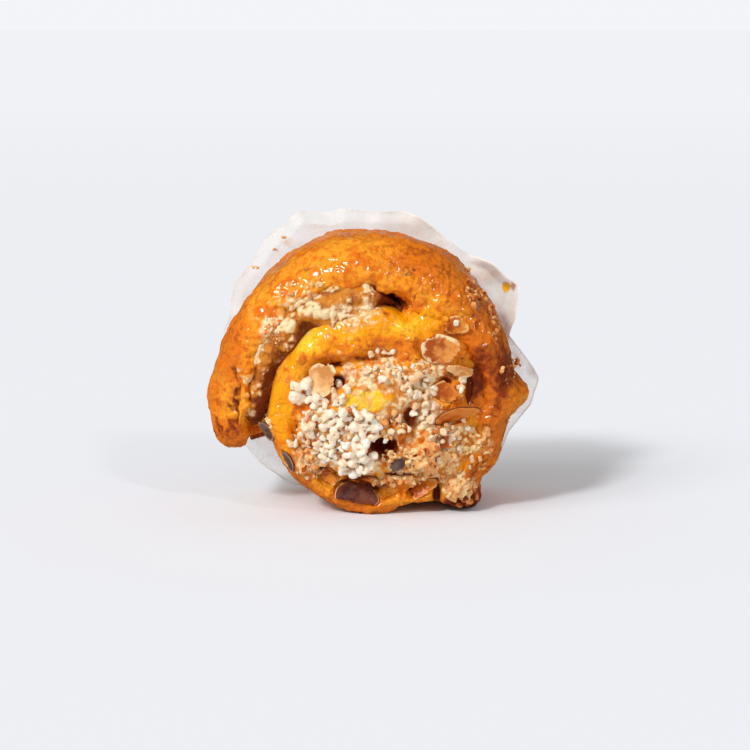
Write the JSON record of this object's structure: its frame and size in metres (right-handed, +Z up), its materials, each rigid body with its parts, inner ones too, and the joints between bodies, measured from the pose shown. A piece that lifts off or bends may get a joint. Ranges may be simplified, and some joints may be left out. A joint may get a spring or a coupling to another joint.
{
  "type": "saffron bun",
  "caption": "Rolled saffron bun standing on its edge, with almond filling, pearl sugar and flaked almonds on its face and baking paper stuck to its base.",
  "frame": {"origin": "on the table, in the middle of the flat spot that the bun stands on, under the middle of the roll", "axes": "+Z up from the table; the rolled face looks along -Y and the paper is on the +Y side; +X is to the right as seen from the face"},
  "size_m": [0.1096, 0.0525, 0.096],
  "materials": {
    "dough": "baked saffron crust, glazed, golden yellow to brown",
    "filling": "baked almond paste, crumbly",
    "paper": "greaseproof baking paper, translucent and wrinkled",
    "almond": "toasted almond flake with brown skin at its edge"
  },
  "bodies": {
    "root": {"dough_roll": "dough", "almond_filling": "filling", "baking_paper": "paper", "almond_flake_upper_right": "almond", "almond_flake_right": "almond", "almond_flake_upper_left": "almond", "almond_flake_foot": "almond", "almond_flake_crest": "almond", "almond_flake_lower_right": "almond", "almond_flake_lower_left": "almond", "almond_flake_amber": "almond", "almond_flake_chip": "almond", "almond_flake_shard": "almond", "almond_flake_under": "almond", "almond_flake_dark": "almond", "almond_flake_gap": "almond", "almond_flake_left": "almond"}
  },
  "joints": []
}
